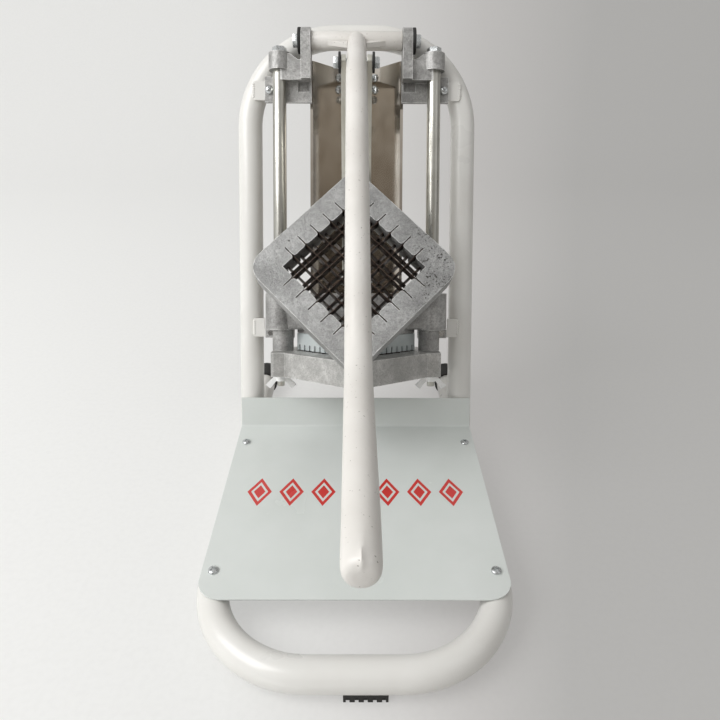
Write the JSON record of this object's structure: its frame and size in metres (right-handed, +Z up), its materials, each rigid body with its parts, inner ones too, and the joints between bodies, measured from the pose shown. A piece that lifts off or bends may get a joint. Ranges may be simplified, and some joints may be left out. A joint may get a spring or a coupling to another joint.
{
  "type": "french fry cutter",
  "caption": "Lever-operated french fry cutter: bent-tube stand, leaning uprights, sliding peg pusher over a crossed-blade block, with a spare blade block.",
  "frame": {"origin": "on the front foot's resting face, straight below the front tube's centreline, midway between the rails", "axes": "+X to the operator's right, +Y back from the operator, +Z up from the table"},
  "size_m": [0.2588, 0.5835, 0.4255],
  "materials": {
    "white_enamel": "glossy warm white enamel",
    "sheet_enamel": "glossy cool white enamel",
    "cast_aluminium": "sand-cast, mottled, pitted",
    "chromed_steel": "polished",
    "mirror_steel": "mirror-polished stainless sheet",
    "zinc": "bright zinc plating",
    "bright_bar": "bright drawn flat bar",
    "blade_steel": "thin strip, stained brown",
    "nylon": "pale bluish white, slightly glossy",
    "black_rubber": "matt black"
  },
  "bodies": {
    "frame": {"base_plate": "sheet_enamel", "base_tube": "white_enamel", "blade_block_frame": "cast_aluminium", "blade_block_front_blades": "blade_steel", "blade_block_rear_blades": "blade_steel", "front_foot": "black_rubber", "guide_rod_left": "chromed_steel", "guide_rod_right": "chromed_steel", "head_bracket_left": "cast_aluminium", "head_bracket_right": "cast_aluminium", "head_screw_left": "zinc", "head_screw_right": "zinc", "lower_bracket_left": "cast_aluminium", "lower_bracket_right": "cast_aluminium", "lower_screw_left": "zinc", "lower_screw_right": "zinc", "lower_tab_left": "white_enamel", "lower_tab_right": "white_enamel", "plate_screw_front_left": "zinc", "plate_screw_front_right": "zinc", "plate_screw_rear_left": "zinc", "plate_screw_rear_right": "zinc", "rear_cap_left": "black_rubber", "rear_cap_right": "black_rubber", "rod_bolt_left": "zinc", "rod_bolt_right": "zinc", "stud_washer_left": "zinc", "stud_washer_right": "zinc", "trough": "mirror_steel", "trough_screw_lower_left": "zinc", "trough_screw_lower_right": "zinc", "trough_screw_upper_left": "zinc", "trough_screw_upper_right": "zinc", "trough_strap": "zinc", "upper_tab_left": "white_enamel", "upper_tab_right": "white_enamel", "upright_tube": "white_enamel"},
    "lever": {"lever": "white_enamel", "lever_crossbar": "white_enamel", "lever_gusset_left": "white_enamel", "lever_gusset_right": "white_enamel", "link_bolt": "zinc", "link_nut": "zinc", "link_washer_left": "black_rubber", "link_washer_right": "black_rubber", "pivot_bolt_left": "zinc", "pivot_bolt_right": "zinc", "pivot_washer_left": "black_rubber", "pivot_washer_right": "black_rubber"},
    "links": {"link_left": "bright_bar", "link_right": "bright_bar", "lower_link_pin": "zinc"},
    "carriage": {"carriage": "cast_aluminium", "pusher_plate": "cast_aluminium", "peg_block": "nylon"},
    "wing_nut_left": {"wing_nut_left": "zinc"},
    "wing_nut_right": {"wing_nut_right": "zinc"},
    "spare_block": {"spare_block_frame": "cast_aluminium", "spare_block_front_blades": "blade_steel", "spare_block_rear_blades": "blade_steel"}
  },
  "joints": [
    {"name": "lever_turn", "type": "hinge", "parent": "frame", "child": "lever", "pos_m": [0, 0.41871, 0.41095], "axis": [-1, 0, 0], "range_deg": [0, 45]},
    {"name": "link_swing", "type": "hinge", "parent": "lever", "child": "links", "pos_m": [0, 0.33668, 0.3959], "axis": [-1, 0, 0], "range_deg": [-49.38, 0]},
    {"name": "carriage_slide", "type": "slide", "parent": "frame", "child": "carriage", "axis": [0, 0.3681, 0.9298], "range_m": [0, 0.06729]},
    {"name": "wing_nut_left_turn", "type": "hinge", "parent": "frame", "child": "wing_nut_left", "pos_m": [-0.08, 0.29209, 0.08572], "axis": [0, 0.3681, 0.9298], "continuous": true},
    {"name": "wing_nut_right_turn", "type": "hinge", "parent": "frame", "child": "wing_nut_right", "pos_m": [0.08, 0.29209, 0.08572], "axis": [0, 0.3681, 0.9298], "continuous": true},
    {"name": "spare_block_slide", "type": "slide", "parent": "frame", "child": "spare_block", "axis": [0.848, -0.4012, 0.3462], "range_m": [0, 0.25]}
  ],
  "couplings": [
    {"joint": "link_swing", "follows": "lever_turn", "ratio": -1.095},
    {"joint": "carriage_slide", "follows": "lever_turn", "m_per_rad": 0.085423}
  ]
}
